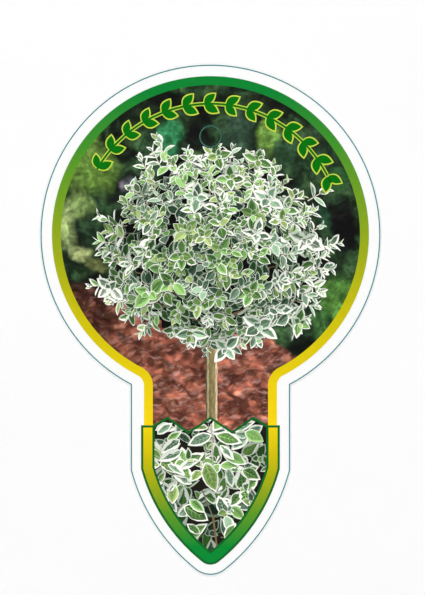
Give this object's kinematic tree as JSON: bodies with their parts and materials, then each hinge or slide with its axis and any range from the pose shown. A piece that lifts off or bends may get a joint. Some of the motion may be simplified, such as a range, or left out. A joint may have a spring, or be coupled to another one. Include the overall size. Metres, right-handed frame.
{
  "type": "plant label",
  "caption": "Flat die-cut plastic plant label: a round picture head with a knock-out hang hole, a short neck and a pointed shield-shaped spike, printed on its face.",
  "frame": {"origin": "under the middle of the label's box, on the flat back that it lies on", "axes": "+Y from the spike's tip to the top of the head, +X to the right of the printed face, +Z out of the printed face"},
  "size_m": [0.1, 0.15, 0.0007],
  "materials": {
    "white_plastic": "white satin plastic sheet",
    "cut_line_ink": "thin blue-green printed line",
    "head_band_ink": "printed band, green over the head to yellow at the neck",
    "garden_ink": "printed blurred garden greens",
    "bark_ink": "printed red-brown bark mulch",
    "shield_line_ink": "printed dark green line",
    "shield_band_ink": "printed band, yellow at the top to green at the tip",
    "shield_picture_ink": "printed near-black green shade",
    "trunk_ink": "printed grey-brown bark",
    "crown_ink": "printed shade among leaves",
    "leaf_ink": "printed variegated leaves, cream margins round green",
    "garland_ink": "printed green leaves edged in yellow-green"
  },
  "bodies": {
    "root": {"label_sheet": "white_plastic", "edge_line_print": "cut_line_ink", "hole_line_print": "cut_line_ink", "hole_disc_print": "garden_ink", "head_band_print": "head_band_ink", "garden_print": "garden_ink", "bark_print": "bark_ink", "shield_line_print": "shield_line_ink", "shield_band_print": "shield_band_ink", "shield_picture_print": "shield_picture_ink", "trunk_print": "trunk_ink", "crown_print": "crown_ink", "garland_print": "garland_ink", "crown_shoot_01": "leaf_ink", "crown_shoot_02": "leaf_ink", "crown_shoot_03": "leaf_ink", "crown_shoot_04": "leaf_ink", "crown_shoot_05": "leaf_ink", "crown_shoot_06": "leaf_ink", "crown_shoot_07": "leaf_ink", "crown_shoot_08": "leaf_ink", "crown_shoot_09": "leaf_ink", "crown_shoot_10": "leaf_ink", "crown_shoot_11": "leaf_ink", "crown_shoot_12": "leaf_ink", "crown_shoot_13": "leaf_ink", "crown_shoot_14": "leaf_ink", "crown_shoot_15": "leaf_ink", "crown_shoot_16": "leaf_ink", "crown_shoot_17": "leaf_ink", "crown_shoot_18": "leaf_ink", "crown_shoot_19": "leaf_ink", "close_shoot_left": "leaf_ink", "close_shoot_right": "leaf_ink", "close_shoot_peak": "leaf_ink", "close_shoot_middle": "leaf_ink", "close_shoot_tip": "leaf_ink"}
  },
  "joints": []
}
